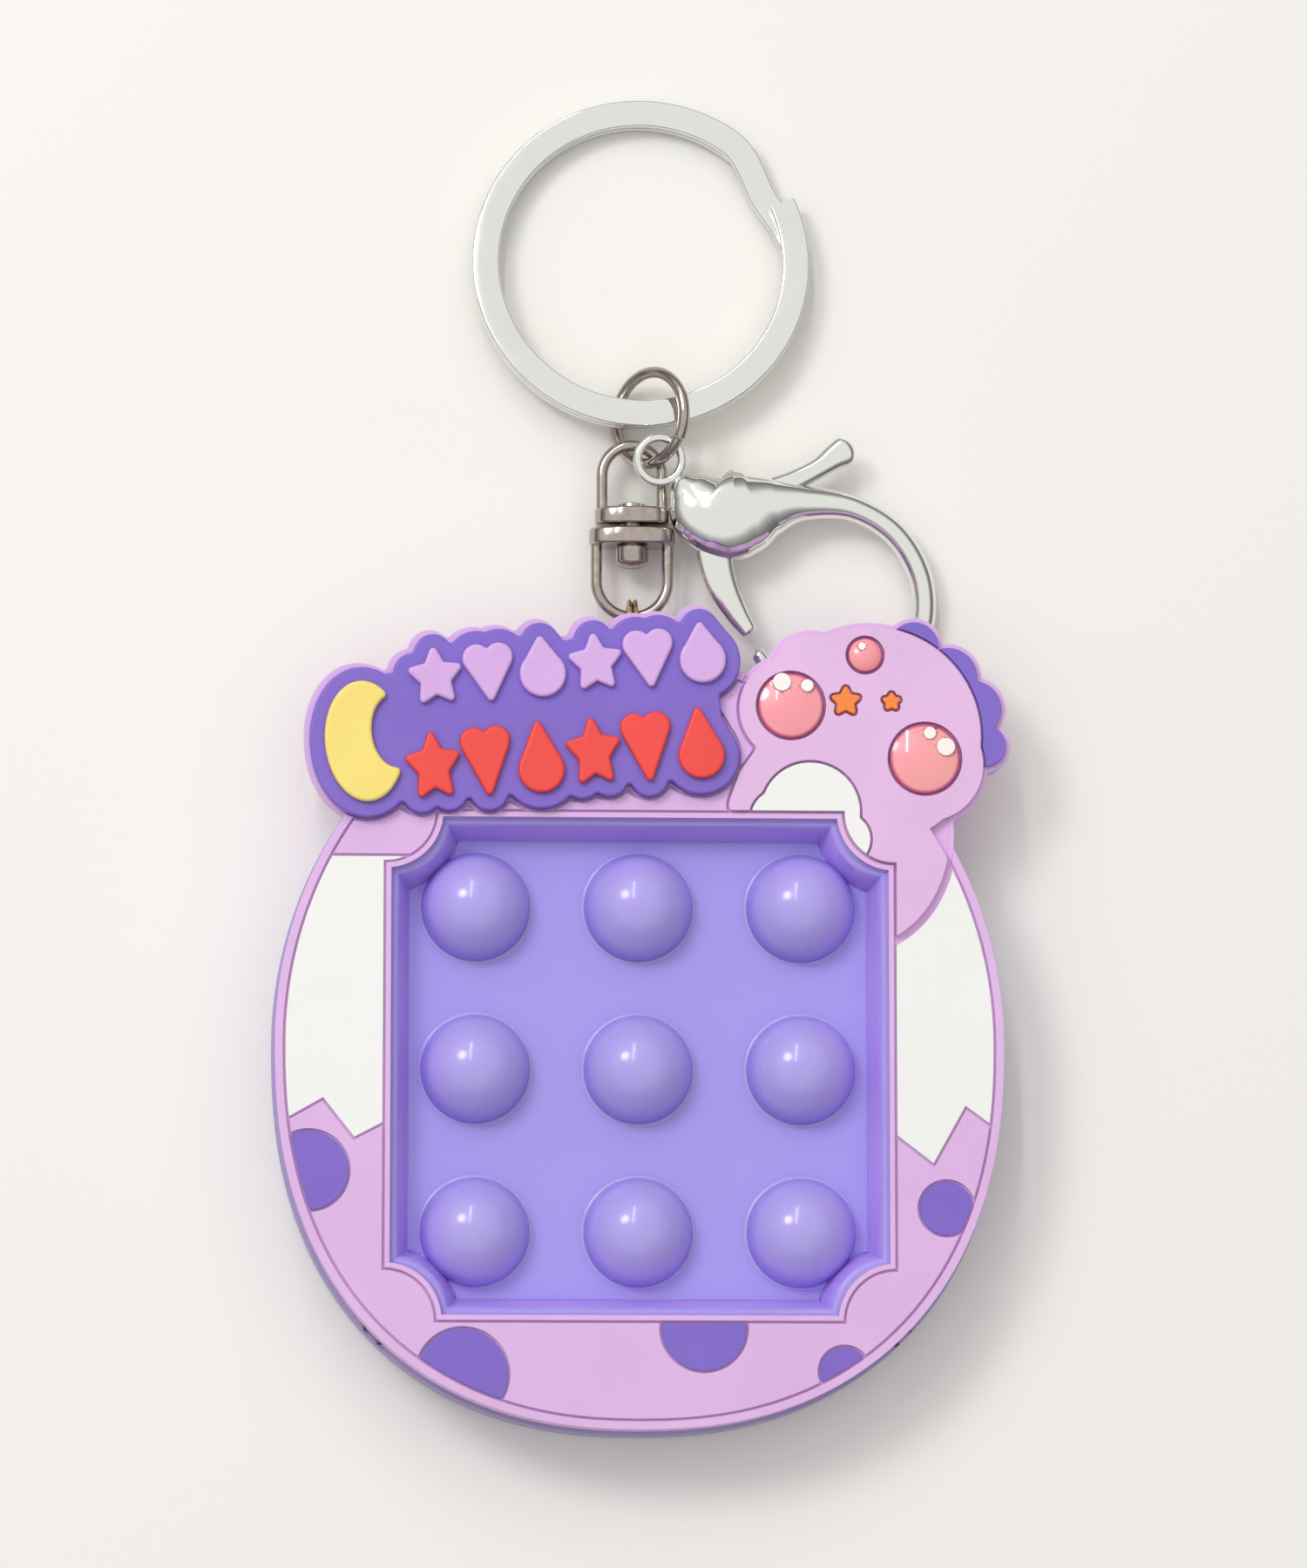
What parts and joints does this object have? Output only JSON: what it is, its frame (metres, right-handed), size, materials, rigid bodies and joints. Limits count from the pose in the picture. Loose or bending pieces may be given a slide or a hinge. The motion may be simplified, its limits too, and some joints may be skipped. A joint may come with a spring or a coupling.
{
  "type": "push-pop bubble keychain",
  "caption": "Flat egg-shaped soft keychain body with a window of press-through silicone bubbles, raised sign and cloud badge, on a chain of split ring, jump ring, swivel and lobster clasp.",
  "frame": {"origin": "on the back face that the keychain lies on, under the middle of the bubble window", "axes": "+X to the wearer's right across the front, +Y towards the split ring, +Z out of the front face"},
  "size_m": [0.0643, 0.119, 0.0112],
  "materials": {
    "back_pvc": "satin moulded soft PVC",
    "silicone": "satin moulded silicone",
    "lilac_pvc": "satin moulded soft PVC",
    "white_pvc": "satin poured soft PVC",
    "purple_pvc": "satin poured soft PVC",
    "yellow_pvc": "satin poured soft PVC",
    "pale_lilac_pvc": "satin poured soft PVC",
    "red_pvc": "satin poured soft PVC",
    "pink_gloss": "glossy domed resin",
    "orange_pvc": "satin poured soft PVC",
    "ring_brass": "pale brass plating",
    "bright_chrome": "bright plated zinc and steel",
    "dark_nickel": "dark nickel plating"
  },
  "bodies": {
    "toy": {"back_frame": "back_pvc", "bubble_mat": "silicone", "front_frame": "lilac_pvc", "lilac_fill": "lilac_pvc", "white_panel_left": "white_pvc", "white_panel_right": "white_pvc", "purple_spots": "purple_pvc", "sign_face": "purple_pvc", "sign_moon": "yellow_pvc", "sign_lilac_shapes": "pale_lilac_pvc", "sign_red_shapes": "red_pvc", "cloud_fill": "lilac_pvc", "cloud_ridge": "purple_pvc", "white_puff": "white_pvc", "glossy_balls": "pink_gloss", "ball_glints": "white_pvc", "orange_stars": "orange_pvc"},
    "bubble_1": {"bubble_crown_1": "silicone"},
    "bubble_2": {"bubble_crown_2": "silicone"},
    "bubble_3": {"bubble_crown_3": "silicone"},
    "bubble_4": {"bubble_crown_4": "silicone"},
    "bubble_5": {"bubble_crown_5": "silicone"},
    "bubble_6": {"bubble_crown_6": "silicone"},
    "bubble_7": {"bubble_crown_7": "silicone"},
    "bubble_8": {"bubble_crown_8": "silicone"},
    "bubble_9": {"bubble_crown_9": "silicone"},
    "tab_ring": {"tab_ring": "ring_brass"},
    "swivel_lower": {"swivel_lower_loop": "dark_nickel"},
    "swivel_upper": {"swivel_upper_loop": "dark_nickel", "swivel_rivet": "dark_nickel"},
    "jump_ring": {"jump_ring": "dark_nickel"},
    "split_ring": {"split_ring": "bright_chrome"},
    "clasp": {"clasp_body": "bright_chrome", "clasp_pin": "bright_chrome", "clasp_spring": "dark_nickel"},
    "clasp_lever": {"clasp_lever": "bright_chrome"}
  },
  "joints": [
    {"name": "bubble_1_press", "type": "slide", "parent": "toy", "child": "bubble_1", "axis": [0, 0, 1], "range_m": [-0.0074, 0]},
    {"name": "bubble_2_press", "type": "slide", "parent": "toy", "child": "bubble_2", "axis": [0, 0, 1], "range_m": [-0.0074, 0]},
    {"name": "bubble_3_press", "type": "slide", "parent": "toy", "child": "bubble_3", "axis": [0, 0, 1], "range_m": [-0.0074, 0]},
    {"name": "bubble_4_press", "type": "slide", "parent": "toy", "child": "bubble_4", "axis": [0, 0, 1], "range_m": [-0.0074, 0]},
    {"name": "bubble_5_press", "type": "slide", "parent": "toy", "child": "bubble_5", "axis": [0, 0, 1], "range_m": [-0.0074, 0]},
    {"name": "bubble_6_press", "type": "slide", "parent": "toy", "child": "bubble_6", "axis": [0, 0, 1], "range_m": [-0.0074, 0]},
    {"name": "bubble_7_press", "type": "slide", "parent": "toy", "child": "bubble_7", "axis": [0, 0, 1], "range_m": [-0.0074, 0]},
    {"name": "bubble_8_press", "type": "slide", "parent": "toy", "child": "bubble_8", "axis": [0, 0, 1], "range_m": [-0.0074, 0]},
    {"name": "bubble_9_press", "type": "slide", "parent": "toy", "child": "bubble_9", "axis": [0, 0, 1], "range_m": [-0.0074, 0]},
    {"name": "tab_ring_swing", "type": "hinge", "parent": "toy", "child": "tab_ring", "pos_m": [-0.00045, 0.03685, 0.00285], "axis": [0, 0, 1], "range_deg": [0, 15]},
    {"name": "swivel_lift", "type": "hinge", "parent": "tab_ring", "child": "swivel_lower", "pos_m": [-0.00045, 0.0403, 0.00285], "axis": [1, 0, 0], "range_deg": [0, 35]},
    {"name": "swivel_spin", "type": "hinge", "parent": "swivel_lower", "child": "swivel_upper", "pos_m": [-0.00045, 0.04665, 0.00285], "axis": [0, 1, 0], "range_deg": [0, 135]},
    {"name": "jump_ring_swing", "type": "hinge", "parent": "swivel_upper", "child": "jump_ring", "pos_m": [-0.00045, 0.05565, 0.00285], "axis": [1, 0, 0], "range_deg": [-6, 2.5]},
    {"name": "split_ring_lift", "type": "hinge", "parent": "jump_ring", "child": "split_ring", "pos_m": [0.00035, 0.059, 0.0029], "axis": [1, 0, 0], "range_deg": [0, 55]},
    {"name": "clasp_swing", "type": "hinge", "parent": "jump_ring", "child": "clasp", "pos_m": [0.0019, 0.0541, 0.00445], "axis": [0.0867, -0.0728, 0.9936], "range_deg": [0, 20]},
    {"name": "clasp_lever_open", "type": "hinge", "parent": "clasp", "child": "clasp_lever", "pos_m": [0.00707, 0.04913, 0.00364], "axis": [0.0867, -0.0728, 0.9936], "range_deg": [0, 18], "stiffness_Nm_per_rad": 0.002, "springref_deg": -5.73}
  ]
}
